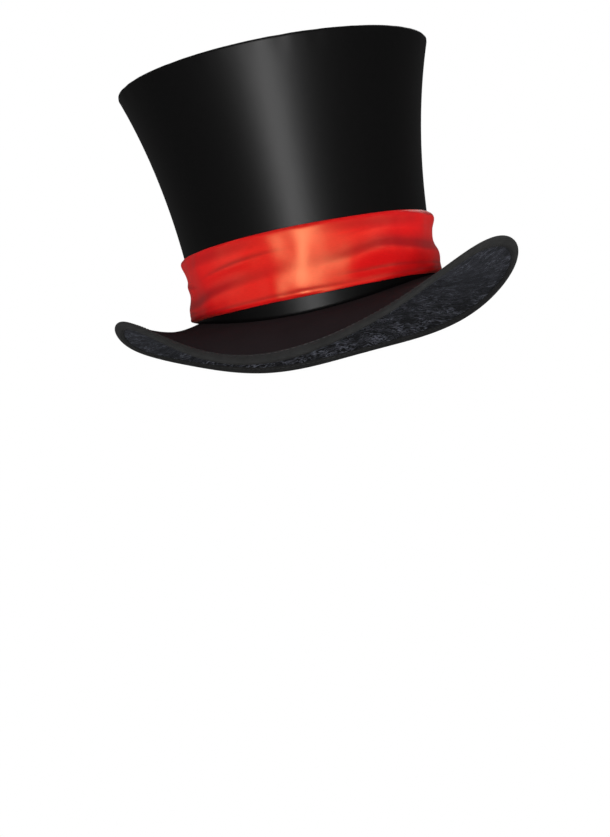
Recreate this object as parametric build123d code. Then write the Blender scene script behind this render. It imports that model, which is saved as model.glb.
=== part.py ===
from build123d import *
import math
import os

# A tall bell-crowned top hat with a curled brim, in millimetres.
# +Z is up, +Y points to the back of the hat, +X to the wearer's left.
# The origin is on the table, under the middle of the hat.

# Every ring of the hat is an oval: at turn t round the hat, and at reach r from
# the middle line, a point is (r cos t, (r + oval) sin t, z).
oval = 17.5

# Crown, measured from the headline, the line where the head's band sits
crown_reach = 89.2       # outside of the crown at the headline
crown_flare = 26.7       # how much further out the top edge is
crown_height = 171.7     # top of the tip above the headline

# Brim: the middle of its thickness. Its joint with the crown, its slope there and its
# edge are waves round the hat, and each number is the size of one wave.
join_side = 2.5          # how far the crown's foot dips at the sides
join_dip = 16.0          # and at front and back
join_lean = 0.3          # wearer's left side higher than the right
brim_fall = 12.3         # how fast the brim leaves the crown downwards
fall_square = 4.1        # faster at the sides than at front and back
fall_lean = 1.2          # faster at the wearer's right
edge_reach_mean = 146.2  # where the layers end, inside the binding's nose
edge_reach_square = 2.6  # further at the sides
edge_mean = -19.1        # mean height of the edge over the headline
edge_curl = 22.8         # sides up, front and back down
edge_square = -0.5       # shape of the four quarters
edge_ripple = -1.1       # finer shape of the quarters
edge_lean = 4.0          # wearer's left side higher than the right
edge_lean_3 = -0.4       # finer shapes of the lean
edge_lean_5 = 1.4
edge_skew = 7.8          # front quarters higher, back quarters lower
edge_skew_3 = 8.5
edge_twist = 0.6         # opposite quarters not quite alike

# Layers, from the outside of the crown wall inwards
glue = 0.1               # line of glue between two layers
satin = 0.6
foam = 1.8
buckram = 1.2
tape = 0.3
lining = 0.4
leather = 1.2
label = 0.4

# Brim layers
brim_felt = 0.6
brim_core = 1.4
brim_velvet = 0.6

# Brim edge
wire_radius = 0.45
wire_sides = 12
joiner_bore = 0.53       # metal sleeve over the two ends of the wire
joiner_radius = 0.68
joiner_length = 6.0
wire_forward = 0.8       # middle of the wire past the end of the layers
binding = 0.6
binding_grip = 5.0       # how far the binding reaches over the brim
thread_radius = 0.3
stitch_inset = 3.8       # thread from the end of the layers

# Sash
sash_top = 45.2          # above the headline
sash_strip = 11.2        # crown left bare under the sash at front and back
sash_swell = 3.4         # middle of the folds out from the crown
sash_lip = 1.7           # its two long edges out from the crown
wrap_half = 15.0         # half the width of the wrap over the sash's join
wrap_cloth = 1.0

# Inside
sweatband_height = 32.0
headline_tape_height = 14.0
lining_foot = 20.0       # lining's lower edge, tucked behind the sweatband
lining_top = 163.0
seam_tape_half = 11.0
join_tape_half = 6.0
label_half = 11.0
label_height = 26.0
label_turn = 205.0       # degrees round the hat, on the wearer's right

# Where each crown layer lies, as depths under the outside of the crown
foam_depth = satin + glue
buckram_depth = foam_depth + foam + glue
tape_depth = buckram_depth + buckram + glue
lining_depth = tape_depth + tape + glue
leather_depth = lining_depth + lining + glue
label_depth = leather_depth + leather + glue

# Where each brim layer lies, as heights over the middle of the brim
core_half = brim_core / 2
felt_low = core_half + glue
felt_high = felt_low + brim_felt
velvet_high = -core_half - glue
velvet_low = velvet_high - brim_velvet
grip_half = felt_high + 1.5 * glue
nose_radius = grip_half + binding
brim_inner_reach = crown_reach - leather_depth + 0.6

# Sections of each half ring, one every 15 degrees
half_sections = 12
profile_points = 9


def edge_height(turn):
    """Height of the brim's edge over the headline."""
    wave = edge_mean + edge_curl * math.cos(2 * turn)
    wave += edge_square * math.cos(4 * turn) + edge_ripple * math.cos(6 * turn)
    wave += edge_lean * math.cos(turn) + edge_lean_3 * math.cos(3 * turn)
    wave += edge_lean_5 * math.cos(5 * turn)
    wave -= edge_skew * math.sin(turn) + edge_skew_3 * math.sin(3 * turn)
    return wave + edge_twist * math.sin(4 * turn)


lowest_edge = min(edge_height(math.radians(degree)) for degree in range(360))
headline = nose_radius - lowest_edge


def place(turn, reach, height):
    """The point at a turn and reach, and a height over the headline."""
    x = reach * math.cos(turn)
    y = (reach + oval) * math.sin(turn)
    return Vector(x, y, headline + height)


def crown_out(height, depth=0.0):
    """Reach of the crown's outside at a height, less a depth under it."""
    q = height / crown_height
    return crown_reach + crown_flare * (0.75 * q**2 + 0.25 * q**3) - depth


def join_height(turn):
    """Height of the brim's middle where it meets the crown."""
    dip = join_side * math.cos(turn) ** 2 + join_dip * math.sin(turn) ** 2
    return join_lean * math.cos(turn) - dip


def edge_reach(turn):
    return edge_reach_mean + edge_reach_square * math.cos(2 * turn)


def brim_middle(turn, reach):
    """Height and slope of the middle of the brim."""
    width = edge_reach(turn) - crown_reach
    s = (reach - crown_reach) / width
    fall = brim_fall + fall_square * math.cos(2 * turn) - fall_lean * math.cos(turn)
    bend = edge_height(turn) - join_height(turn) + fall
    height = join_height(turn) - fall * s + bend * s**2
    slope = (2 * bend * s - fall) / width
    return height, slope


def brim_point(turn, reach, lift):
    """A point a lift above the brim's middle, square to it."""
    height, slope = brim_middle(turn, reach)
    tilt = math.atan(slope)
    return place(turn, reach - lift * math.sin(tilt), height + lift * math.cos(tilt))


def brim_level(turn, reach, lift):
    """Height of a brim surface straight over a reach."""
    height, slope = brim_middle(turn, reach)
    return height + lift * math.hypot(1, slope)


def even(first, last, count):
    return [first + (last - first) * i / (count - 1) for i in range(count)]


def closed(*edges):
    return Wire(list(edges))


def quad(inner, outer):
    """A section between two rows of points that run the same way."""
    return closed(
        Edge.make_spline(inner),
        Edge.make_line(inner[-1], outer[-1]),
        Edge.make_spline(outer[::-1]),
        Edge.make_line(outer[0], inner[0]),
    )


def half_ring(section, start):
    turns = [math.radians(a) for a in even(start, start + 180.0, half_sections + 1)]
    return Solid.make_loft([section(turn) for turn in turns])


def ring(section):
    """A closed ring round the hat, from its section at each turn."""
    return half_ring(section, -90.0) + half_ring(section, 90.0)


def patch(section, middle, half_width, reach):
    """A short piece of a ring, as wide along the oval as 2 half_width."""
    turn = math.radians(middle)
    speed = math.hypot(reach * math.sin(turn), (reach + oval) * math.cos(turn))
    spread = half_width / speed
    return Solid.make_loft([section(turn + k * spread) for k in (-1, -0.5, 0, 0.5, 1)])


def wall_section(turn, depth, thickness, foot, top):
    """A section of one crown layer, with a height for its foot at each face."""
    inner_foot = foot(turn, crown_out(0, depth + thickness))
    outer_foot = foot(turn, crown_out(0, depth))
    inner = [place(turn, crown_out(z, depth + thickness), z)
             for z in even(inner_foot, top, profile_points)]
    outer = [place(turn, crown_out(z, depth), z)
             for z in even(outer_foot, top, profile_points)]
    return quad(inner, outer)


def on_brim(turn, reach):
    """Just above the top of the brim."""
    return brim_level(turn, reach, felt_high + glue)


def level(height):
    return lambda turn, reach: height


def tip_plate(depth, top, thickness, clearance):
    """A flat oval in the top of the crown."""
    low = top - thickness
    reach = crown_out(low, depth) - clearance
    plate = extrude(Ellipse(reach, reach + oval), thickness)
    return Pos(0, 0, headline + low) * plate


# Heights of the plates in the top of the crown
tip_foam_top = crown_height - satin - glue
tip_buckram_top = tip_foam_top - foam - glue
tip_tape_top = tip_buckram_top - buckram - glue


def crown_side_cover():
    top = crown_height - satin - glue
    return ring(lambda t: wall_section(t, 0, satin, on_brim, top))


def crown_side_padding():
    top = tip_buckram_top
    return ring(lambda t: wall_section(t, foam_depth, foam, on_brim, top))


def crown_side_stiffener():
    return ring(lambda t: wall_section(t, buckram_depth, buckram, on_brim, tip_tape_top))


def crown_seam_tape():
    """Tape over the upright joint of the stiffener, at the back."""
    def section(turn):
        return wall_section(turn, tape_depth, tape, level(-8.0), lining_top)
    return patch(section, 90.0, seam_tape_half, crown_out(60, tape_depth))


def crown_side_lining():
    def section(turn):
        return wall_section(turn, lining_depth, lining, level(lining_foot), lining_top)
    return ring(section)


def crown_tip_cover():
    top = crown_height - satin
    plate = extrude(Ellipse(crown_out(top), crown_out(top) + oval), satin)
    return Pos(0, 0, headline + top) * plate


def crown_tip_padding():
    return tip_plate(satin, tip_foam_top, foam, glue)


def crown_tip_stiffener():
    return tip_plate(foam_depth + foam, tip_buckram_top, buckram, glue)


def crown_tip_lining():
    """The lining's flat top, just over the end of the side lining."""
    return tip_plate(lining_depth, lining_top + glue + lining, lining, 0.0)


def round_wire(turn, centre, radius):
    """A twelve-sided section as large as a round one, square across the ring."""
    step = 2 * math.pi / wire_sides
    corner = radius * math.sqrt(step / math.sin(step))
    outward = Vector(math.cos(turn), math.sin(turn), 0)
    upward = Vector(0, 0, 1)
    points = [centre + outward * (corner * math.cos(k * step)) + upward * (corner * math.sin(k * step))
              for k in range(wire_sides)]
    return Wire.make_polygon(points, close=True)


def crown_top_wire():
    """Wire that holds the top edge of the crown in its oval."""
    height = tip_tape_top - wire_radius - glue
    reach = crown_out(height, tape_depth) - wire_radius - glue
    return ring(lambda t: round_wire(t, place(t, reach, height), wire_radius))


def headline_tape():
    def section(turn):
        foot = brim_level(turn, brim_inner_reach, felt_high + glue) + glue
        top = foot + headline_tape_height
        return wall_section(turn, lining_depth, lining, level(foot), top)
    return ring(section)


def brim_layer(low, high):
    def section(turn):
        reaches = even(brim_inner_reach, edge_reach(turn), profile_points)
        lower = [brim_point(turn, reach, low) for reach in reaches]
        upper = [brim_point(turn, reach, high) for reach in reaches]
        return quad(lower, upper)
    return ring(section)


def brim_stiffener():
    return brim_layer(-core_half, core_half)


def brim_top_cover():
    return brim_layer(felt_low, felt_high)


def brim_under_cover():
    return brim_layer(velvet_low, velvet_high)


def nose_point(turn, forward, lift):
    """A point past the end of the layers, along the brim's own slope."""
    height, slope = brim_middle(turn, edge_reach(turn))
    tilt = math.atan(slope)
    out = forward * math.cos(tilt) - lift * math.sin(tilt)
    rise = forward * math.sin(tilt) + lift * math.cos(tilt)
    return place(turn, edge_reach(turn) + out, height + rise)


def brim_edge_wire():
    return ring(lambda t: round_wire(t, nose_point(t, wire_forward, 0), wire_radius))


def brim_wire_joiner():
    """Metal sleeve crimped over the two ends of the edge wire, at the back."""
    middle = nose_point(math.radians(90), wire_forward, 0)
    sleeve = Cylinder(joiner_radius, joiner_length) - Cylinder(joiner_bore, joiner_length)
    return Pos(*middle) * Rot(0, 90, 0) * sleeve


def binding_section(turn):
    edge = edge_reach(turn)
    reaches = even(edge - binding_grip, edge, 5)

    def leg(lift):
        return [brim_point(turn, reach, lift) for reach in reaches]

    def nose(radius):
        start = brim_point(turn, edge, radius)
        end = brim_point(turn, edge, -radius)
        return Edge.make_three_point_arc(start, nose_point(turn, radius, 0), end)

    top_out, top_in = leg(nose_radius), leg(grip_half)
    low_out, low_in = leg(-nose_radius), leg(-grip_half)
    return closed(
        Edge.make_spline(top_out),
        nose(nose_radius),
        Edge.make_spline(low_out[::-1]),
        Edge.make_line(low_out[0], low_in[0]),
        Edge.make_spline(low_in),
        nose(grip_half).reversed(),
        Edge.make_spline(top_in[::-1]),
        Edge.make_line(top_in[0], top_out[0]),
    )


def brim_binding():
    return ring(binding_section)


def binding_thread():
    """The two rows of stitching that hold the binding, above and below."""
    lift = nose_radius + thread_radius + glue

    def row(side):
        def section(turn):
            middle = brim_point(turn, edge_reach(turn) - stitch_inset, side * lift)
            return round_wire(turn, middle, thread_radius)
        return ring(section)

    return Compound(children=[row(1), row(-1)])


def sash_foot(turn):
    """Lower edge of the sash: on the brim at the sides, above it in front."""
    bare = sash_strip * math.sin(turn) ** 2
    return brim_level(turn, crown_reach, felt_high) + 3 * glue + bare


def sash_section(turn):
    foot = sash_foot(turn)
    heights = even(foot, sash_top, 5)
    swells = [sash_lip, sash_swell - 0.3, sash_swell, sash_swell - 0.3, sash_lip]
    inner = [place(turn, crown_out(z) + glue, z) for z in heights]
    outer = [place(turn, crown_out(z) + swell, z) for z, swell in zip(heights, swells)]
    return quad(inner, outer)


def hat_sash():
    return ring(sash_section)


def sash_join_wrap():
    """Short loop of the same satin over the sash's join, at the back."""
    def section(turn):
        heights = even(sash_foot(turn), sash_top, 5)
        lift = sash_swell + glue
        inner = [place(turn, crown_out(z) + lift, z) for z in heights]
        outer = [place(turn, crown_out(z) + lift + wrap_cloth, z) for z in heights]
        return quad(inner, outer)
    return patch(section, 90.0, wrap_half, crown_reach + sash_swell)


def sweatband_foot(turn):
    """Level with the underside of the brim at the head opening."""
    return brim_level(turn, brim_inner_reach, velvet_low) + glue


def sweatband():
    def section(turn):
        foot = sweatband_foot(turn)
        return wall_section(turn, leather_depth, leather, level(foot), foot + sweatband_height)
    return ring(section)


def sweatband_thread():
    def section(turn):
        height = sweatband_foot(turn) + 3.0
        reach = crown_out(height, label_depth) - thread_radius
        return round_wire(turn, place(turn, reach, height), thread_radius)
    return ring(section)


def sweatband_join_tape():
    """Tape over the upright joint of the sweatband, at the back."""
    def section(turn):
        foot = sweatband_foot(turn) + 5.0
        top = sweatband_foot(turn) + sweatband_height - 0.5
        return wall_section(turn, label_depth, label, level(foot), top)
    return patch(section, 90.0, join_tape_half, crown_out(0, label_depth))


def care_label():
    """A blank folded label sewn to the sweatband."""
    def section(turn):
        foot = sweatband_foot(turn) + 5.0
        return wall_section(turn, label_depth, label, level(foot), foot + label_height - 5.0)
    return patch(section, label_turn, label_half, crown_out(0, label_depth))


pieces = [
    crown_side_cover,
    crown_side_padding,
    crown_side_stiffener,
    crown_seam_tape,
    crown_side_lining,
    crown_tip_cover,
    crown_tip_padding,
    crown_tip_stiffener,
    crown_tip_lining,
    crown_top_wire,
    headline_tape,
    brim_stiffener,
    brim_top_cover,
    brim_under_cover,
    brim_edge_wire,
    brim_wire_joiner,
    brim_binding,
    binding_thread,
    hat_sash,
    sash_join_wrap,
    sweatband,
    sweatband_thread,
    sweatband_join_tape,
    care_label,
]

os.makedirs("parts", exist_ok=True)
for piece in pieces:
    export_step(piece(), f"parts/{piece.__name__}.step")
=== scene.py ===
import math
import bpy
import numpy as np
from mathutils import Matrix, Vector


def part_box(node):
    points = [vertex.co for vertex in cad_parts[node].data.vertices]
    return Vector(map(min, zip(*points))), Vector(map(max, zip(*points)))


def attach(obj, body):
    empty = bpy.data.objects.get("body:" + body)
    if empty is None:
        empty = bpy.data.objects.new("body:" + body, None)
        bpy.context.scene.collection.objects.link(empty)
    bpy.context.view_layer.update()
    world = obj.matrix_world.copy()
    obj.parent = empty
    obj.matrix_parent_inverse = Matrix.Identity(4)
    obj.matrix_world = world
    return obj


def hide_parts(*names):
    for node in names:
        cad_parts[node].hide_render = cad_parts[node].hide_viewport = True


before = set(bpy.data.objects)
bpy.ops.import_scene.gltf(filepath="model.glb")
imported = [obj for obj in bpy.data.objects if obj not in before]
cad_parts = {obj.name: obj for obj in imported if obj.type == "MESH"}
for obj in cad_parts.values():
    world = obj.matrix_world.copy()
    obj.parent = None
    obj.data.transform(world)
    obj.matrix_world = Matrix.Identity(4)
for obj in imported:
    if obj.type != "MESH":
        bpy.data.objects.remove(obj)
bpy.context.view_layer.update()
scene = bpy.context.scene
scene.view_settings.view_transform = "Standard"
mm = 0.001
print("frame loaded:", len(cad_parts), "CAD nodes")


# The hat's own shape, in millimetres. Every ring of it is an oval: a turn round the hat
# (0 at the wearer's left, a quarter turn further at the back), a reach from the middle
# line, and a height over the headline.
hat = {
    "oval": 17.5,            # how much longer than wide each half is
    "crownReach": 89.2,
    "crownFlare": 26.7,
    "crownHeight": 171.7,
    "joinSide": 2.5,         # the crown's foot dips a little at the sides
    "joinDip": 16.0,         # and more at front and back
    "joinLean": 0.3,
    "brimFall": 12.3,        # how fast the brim leaves the crown downwards
    "fallSquare": 4.1,
    "fallLean": 1.2,
    "edgeReach": 146.2,      # where the brim's layers end
    "edgeReachSquare": 2.6,
    "edgeMean": -19.1,
    "edgeCurl": 22.8,        # sides of the brim up, front and back down
    "edgeSquare": -0.5,
    "edgeRipple": -1.1,
    "edgeLean": (4.0, -0.4, 1.4),
    "edgeSkew": (7.8, 8.5),
    "edgeTwist": 0.6,
    "brimHalf": 1.4,         # half the thickness of the brim's layers
    "innerReach": 85.0,      # where the brim's layers start
    "sweatbandDepth": 4.8,   # under the outside of the crown
}
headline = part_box("crown_tip_cover")[1].z / mm - hat["crownHeight"]
back = math.pi / 2


def place(turn, reach, height):
    turn, reach, height = np.broadcast_arrays(turn, reach, height)
    x = reach * np.cos(turn)
    y = (reach + hat["oval"]) * np.sin(turn)
    return np.stack([x, y, height + headline], -1) * mm


def crownOut(height, depth=0.0):
    q = height / hat["crownHeight"]
    return hat["crownReach"] + hat["crownFlare"] * (0.75 * q**2 + 0.25 * q**3) - depth


def edgeHeight(turn):
    wave = hat["edgeMean"] + hat["edgeCurl"] * np.cos(2 * turn)
    wave = wave + hat["edgeSquare"] * np.cos(4 * turn) + hat["edgeRipple"] * np.cos(6 * turn)
    wave = wave + sum(size * np.cos(rate * turn) for rate, size in zip((1, 3, 5), hat["edgeLean"]))
    wave = wave - sum(size * np.sin(rate * turn) for rate, size in zip((1, 3), hat["edgeSkew"]))
    return wave + hat["edgeTwist"] * np.sin(4 * turn)


def edgeReach(turn):
    return hat["edgeReach"] + hat["edgeReachSquare"] * np.cos(2 * turn)


def brimMiddle(turn, reach):
    # height and slope of the middle of the brim's thickness
    width = edgeReach(turn) - hat["crownReach"]
    share = (reach - hat["crownReach"]) / width
    dip = hat["joinSide"] * np.cos(turn) ** 2 + hat["joinDip"] * np.sin(turn) ** 2
    joint = hat["joinLean"] * np.cos(turn) - dip
    fall = hat["brimFall"] + hat["fallSquare"] * np.cos(2 * turn) - hat["fallLean"] * np.cos(turn)
    bend = edgeHeight(turn) - joint + fall
    height = joint - fall * share + bend * share**2
    return height, (2 * bend * share - fall) / width


def brimPoint(turn, reach, lift, forward=0.0):
    # a point a lift over the brim's middle, square to it, and further out along its slope
    height, slope = brimMiddle(turn, reach)
    tilt = np.arctan(slope)
    out = forward * np.cos(tilt) - lift * np.sin(tilt)
    return place(turn, reach + out, height + forward * np.sin(tilt) + lift * np.cos(tilt))


def brimLevel(turn, reach, lift):
    height, slope = brimMiddle(turn, reach)
    return height + lift * np.hypot(1, slope)


# Small helpers for uneven cloth: smooth values that close on themselves round the hat
def turns(count):
    return np.arange(count) * 2 * math.pi / count


def soften(values, widthDegrees):
    count = len(values)
    rate = np.fft.rfftfreq(count, 360.0 / count)
    return np.fft.irfft(np.fft.rfft(values) * np.exp(-2 * (math.pi * rate * widthDegrees) ** 2), count)


def unevenRound(count, widthDegrees, seed):
    values = soften(np.random.default_rng(seed).standard_normal(count), widthDegrees)
    return values / np.abs(values).max()


def unevenPatch(countU, countV, widthU, widthV, seed):
    # uneven in both directions, closed along the first, from -1 to 1
    field = np.random.default_rng(seed).standard_normal((countU, countV))
    rateU = np.fft.fftfreq(countU)[:, None] * widthU
    rateV = np.fft.fftfreq(countV)[None, :] * widthV
    field = np.fft.ifft2(np.fft.fft2(field) * np.exp(-2 * math.pi**2 * (rateU**2 + rateV**2))).real
    return field / np.abs(field).max()


def bump(distance, width):
    return np.exp(-(distance / width) ** 2)


# Mesh helpers. Rows of points become quads, with a UV map in metres along the cloth.
def makePiece(name, vertices, faces, faceUvs=None):
    mesh = bpy.data.meshes.new(name)
    mesh.from_pydata(vertices, [], faces)
    if faceUvs is not None:
        mesh.uv_layers.new(name="cloth").data.foreach_set("uv", np.asarray(faceUvs, np.float32).ravel())
    mesh.polygons.foreach_set("use_smooth", np.ones(len(mesh.polygons), bool))
    mesh.update()
    piece = bpy.data.objects.new(name, mesh)
    scene.collection.objects.link(piece)
    return piece


def gridPiece(name, points, roundU=True, roundV=True, size=(0.6, 0.1)):
    countU, countV = points.shape[:2]
    lastU = countU if roundU else countU - 1
    lastV = countV if roundV else countV - 1
    u, v = (a.ravel() for a in np.meshgrid(np.arange(lastU), np.arange(lastV), indexing="ij"))
    cornerU = np.stack([u, u + 1, u + 1, u], 1)
    cornerV = np.stack([v, v, v + 1, v + 1], 1)
    faces = ((cornerU % countU) * countV + cornerV % countV).tolist()
    uvs = np.stack([cornerU / lastU * size[0], cornerV / lastV * size[1]], -1).reshape(-1, 2)
    if roundV and not roundU:      # a strip with a closed section gets its two ends
        start = (countU - 1) * countV
        faces.append(list(range(countV)))
        faces.append([start + k for k in reversed(range(countV))])
        uvs = np.concatenate([uvs, np.zeros((2 * countV, 2))])
    return makePiece(name, points.reshape(-1, 3).tolist(), faces, uvs)


def settle(piece):
    # bakes a piece's modifiers into its mesh
    graph = bpy.context.evaluated_depsgraph_get()
    mesh = bpy.data.meshes.new_from_object(piece.evaluated_get(graph), depsgraph=graph)
    piece.modifiers.clear()
    piece.data = mesh
    mesh.polygons.foreach_set("use_smooth", np.ones(len(mesh.polygons), bool))
    return piece


def thicken(piece, thickness):
    # half the thickness, in millimetres, goes to each side
    wall = piece.modifiers.new("cloth", "SOLIDIFY")
    wall.thickness = thickness * mm
    wall.offset = 0.0
    return settle(piece)


def markShade(piece, values):
    # painted shade: how far each point lies in a fold's shade, stored for the cloth's colour
    shade = piece.data.attributes.new("paintedFoldShade", "FLOAT", "POINT")
    shade.data.foreach_set("value", np.asarray(values, np.float32).ravel())


def give(piece, material, slotName, *standsFor):
    piece.data.materials.clear()
    piece.data.materials.append(material)
    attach(piece, "root")
    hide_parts(*standsFor)


# Shader helpers
def addNode(tree, kind, **settings):
    node = tree.nodes.new(kind)
    for key, value in settings.items():
        setattr(node, key, value)
    return node


def setInputs(node, values):
    for key, value in values.items():
        node.inputs[key].default_value = value
    return node


def mathNode(tree, operation, first, second=None, clamp=False):
    node = addNode(tree, "ShaderNodeMath", operation=operation, use_clamp=clamp)
    for index, value in enumerate((first, second)):
        if value is None:
            continue
        if isinstance(value, (int, float)):
            node.inputs[index].default_value = value
        else:
            tree.links.new(value, node.inputs[index])
    return node.outputs[0]


def vectorMath(tree, operation, first, second):
    node = addNode(tree, "ShaderNodeVectorMath", operation=operation)
    for index, value in enumerate((first, second)):
        if isinstance(value, tuple):
            node.inputs[index].default_value = value
        else:
            tree.links.new(value, node.inputs[index])
    return node.outputs[0]


def spreadOut(tree, value, low, high):
    # 0 at low, 1 at high
    node = setInputs(addNode(tree, "ShaderNodeMapRange"), {"From Min": low, "From Max": high})
    tree.links.new(value, node.inputs["Value"])
    return node.outputs["Result"]


def mixTones(tree, factor, dark, light):
    tone = addNode(tree, "ShaderNodeMix", data_type="RGBA")
    tone.inputs["A"].default_value = (*dark, 1)
    tone.inputs["B"].default_value = (*light, 1)
    tree.links.new(factor, tone.inputs["Factor"])
    return tone.outputs["Result"]


def addRelief(tree, skin, height, distance):
    relief = setInputs(addNode(tree, "ShaderNodeBump"), {"Strength": 1.0, "Distance": distance})
    tree.links.new(height, relief.inputs["Height"])
    tree.links.new(relief.outputs["Normal"], skin.inputs["Normal"])


def newMaterial(name):
    material = bpy.data.materials.new(name)
    material.use_nodes = True
    return material, material.node_tree


def newGroup(name, inputs, outputs):
    group = bpy.data.node_groups.new(name, "ShaderNodeTree")
    for label, kind, value in inputs:
        socket = group.interface.new_socket(label, in_out="INPUT", socket_type="NodeSocket" + kind)
        if value is not None:
            socket.default_value = value
    for label, kind in outputs:
        group.interface.new_socket(label, in_out="OUTPUT", socket_type="NodeSocket" + kind)
    return group, group.nodes.new("NodeGroupInput"), group.nodes.new("NodeGroupOutput")


# Satin weave: long floats across the cloth, broken by slubs. Lengths are in metres.
weaveGroup, weaveIn, weaveOut = newGroup(
    "satinWeave",
    [("Place", "Vector", None), ("Threads", "Float", 1400.0), ("Slub", "Float", 0.5)],
    [("Height", "Float"), ("Shade", "Float")],
)
floats = setInputs(addNode(weaveGroup, "ShaderNodeTexWave", wave_type="BANDS", bands_direction="DIAGONAL"),
                   {"Distortion": 1.5, "Detail": 1.0, "Detail Scale": 1.0})
slubs = setInputs(addNode(weaveGroup, "ShaderNodeTexNoise"), {"Scale": 1.0, "Detail": 3.0, "Roughness": 0.6})
slubPlace = vectorMath(weaveGroup, "MULTIPLY", weaveIn.outputs["Place"], (260.0, 1900.0, 1200.0))
weaveGroup.links.new(weaveIn.outputs["Place"], floats.inputs["Vector"])
weaveGroup.links.new(weaveIn.outputs["Threads"], floats.inputs["Scale"])
weaveGroup.links.new(slubPlace, slubs.inputs["Vector"])
slubShare = mathNode(weaveGroup, "MULTIPLY", slubs.outputs[0], weaveIn.outputs["Slub"])
floatShare = mathNode(weaveGroup, "MULTIPLY", floats.outputs["Fac"], 0.25)
weaveGroup.links.new(mathNode(weaveGroup, "ADD", slubShare, floatShare), weaveOut.inputs["Height"])
weaveGroup.links.new(slubs.outputs[0], weaveOut.inputs["Shade"])

# Felt: short tangled hairs at two sizes, with slow patches where the hand has rubbed it
feltGroup, feltIn, feltOut = newGroup(
    "feltHairs",
    [("Place", "Vector", None), ("Hairs", "Float", 900.0), ("Patches", "Float", 45.0)],
    [("Height", "Float"), ("Shade", "Float")],
)
hairs = setInputs(addNode(feltGroup, "ShaderNodeTexNoise"),
                  {"Detail": 4.0, "Roughness": 0.7, "Distortion": 0.6})
patches = setInputs(addNode(feltGroup, "ShaderNodeTexNoise"), {"Detail": 2.0, "Roughness": 0.5})
for node, rate in ((hairs, "Hairs"), (patches, "Patches")):
    feltGroup.links.new(feltIn.outputs["Place"], node.inputs["Vector"])
    feltGroup.links.new(feltIn.outputs[rate], node.inputs["Scale"])
feltGroup.links.new(hairs.outputs[0], feltOut.inputs["Height"])
halfHairs = mathNode(feltGroup, "MULTIPLY", hairs.outputs[0], 0.5)
halfPatches = mathNode(feltGroup, "MULTIPLY", patches.outputs[0], 0.5)
feltGroup.links.new(mathNode(feltGroup, "ADD", halfHairs, halfPatches), feltOut.inputs["Shade"])
print("shared surface groups built")


def clothMaterial(name, group, groupValues, dark, light, bumpDepth, shader, alongCloth=False):
    # colour runs from dark to light with the group's shade, and its height goes into a bump
    material, tree = newMaterial(name)
    skin = setInputs(tree.nodes["Principled BSDF"], shader)
    effect = setInputs(addNode(tree, "ShaderNodeGroup", node_tree=group), groupValues)
    if alongCloth:
        where = addNode(tree, "ShaderNodeUVMap", uv_map="cloth").outputs["UV"]
    else:
        where = addNode(tree, "ShaderNodeTexCoord").outputs["Object"]
    tree.links.new(where, effect.inputs["Place"])
    contrast = spreadOut(tree, effect.outputs["Shade"], 0.3, 0.7)
    tree.links.new(mixTones(tree, contrast, dark, light), skin.inputs["Base Color"])
    addRelief(tree, skin, effect.outputs["Height"], bumpDepth)
    return material


blackSatin = clothMaterial(
    "blackSatin", weaveGroup, {"Threads": 1500.0, "Slub": 0.6},
    (0.0018, 0.0017, 0.0018), (0.0026, 0.0025, 0.0026), 0.00002,
    {"Roughness": 0.42, "Specular IOR Level": 0.18}, alongCloth=True)
redSatin = clothMaterial(
    "redSatin", weaveGroup, {"Threads": 1300.0, "Slub": 0.8},
    (0.88, 0.006, 0.009), (0.97, 0.010, 0.013), 0.00003,
    {"Roughness": 0.35, "Specular IOR Level": 0.55, "Specular Tint": (1.0, 0.68, 0.30, 1),
     "Sheen Weight": 0.07, "Sheen Roughness": 0.3, "Sheen Tint": (1.0, 0.55, 0.40, 1)}, alongCloth=True)


def paintFoldShade(material, paintedShadeColour):
    # painted shade: multiplies the colour by a darker, cooler one where the cloth is marked as lying in a
    # fold's shade
    tree = material.node_tree
    skin = tree.nodes["Principled BSDF"]
    plain = skin.inputs["Base Color"].links[0].from_socket
    depth = addNode(tree, "ShaderNodeAttribute", attribute_name="paintedFoldShade")
    darker = addNode(tree, "ShaderNodeMix", data_type="RGBA", blend_type="MULTIPLY")
    darker.inputs["B"].default_value = (*paintedShadeColour, 1)
    tree.links.new(depth.outputs["Fac"], darker.inputs["Factor"])
    tree.links.new(plain, darker.inputs["A"])
    tree.links.new(darker.outputs["Result"], skin.inputs["Base Color"])


# painted shade colour for the sash's folds
paintFoldShade(redSatin, (0.50, 0.50, 0.90))
brimFelt = clothMaterial(
    "brimFelt", feltGroup, {"Hairs": 1100.0, "Patches": 40.0},
    (0.0168, 0.0122, 0.0136), (0.0230, 0.0168, 0.0188), 0.00006,
    {"Roughness": 0.95, "Specular IOR Level": 0.05})
bindingFelt = clothMaterial(
    "bindingFelt", feltGroup, {"Hairs": 1300.0, "Patches": 120.0},
    (0.020, 0.020, 0.020), (0.034, 0.034, 0.034), 0.00008,
    {"Roughness": 0.9, "Specular IOR Level": 0.1, "Sheen Weight": 0.03, "Sheen Roughness": 0.5})
liningSatin = clothMaterial(
    "liningSatin", weaveGroup, {"Threads": 1500.0, "Slub": 0.6},
    (0.034, 0.034, 0.037), (0.052, 0.052, 0.056), 0.00002,
    {"Roughness": 0.36, "Specular IOR Level": 0.6}, alongCloth=True)
sweatLeather = clothMaterial(
    "sweatLeather", feltGroup, {"Hairs": 700.0, "Patches": 60.0},
    (0.030, 0.026, 0.025), (0.048, 0.042, 0.040), 0.00005,
    {"Roughness": 0.55, "Specular IOR Level": 0.4})
threadMaterial = clothMaterial(
    "blackThread", weaveGroup, {"Threads": 4000.0, "Slub": 0.8},
    (0.012, 0.012, 0.013), (0.024, 0.024, 0.026), 0.00003,
    {"Roughness": 0.6, "Specular IOR Level": 0.4})
labelCloth = clothMaterial(
    "labelCloth", weaveGroup, {"Threads": 2500.0, "Slub": 0.7},
    (0.66, 0.65, 0.62), (0.78, 0.77, 0.74), 0.00003,
    {"Roughness": 0.6}, alongCloth=True)
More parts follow.
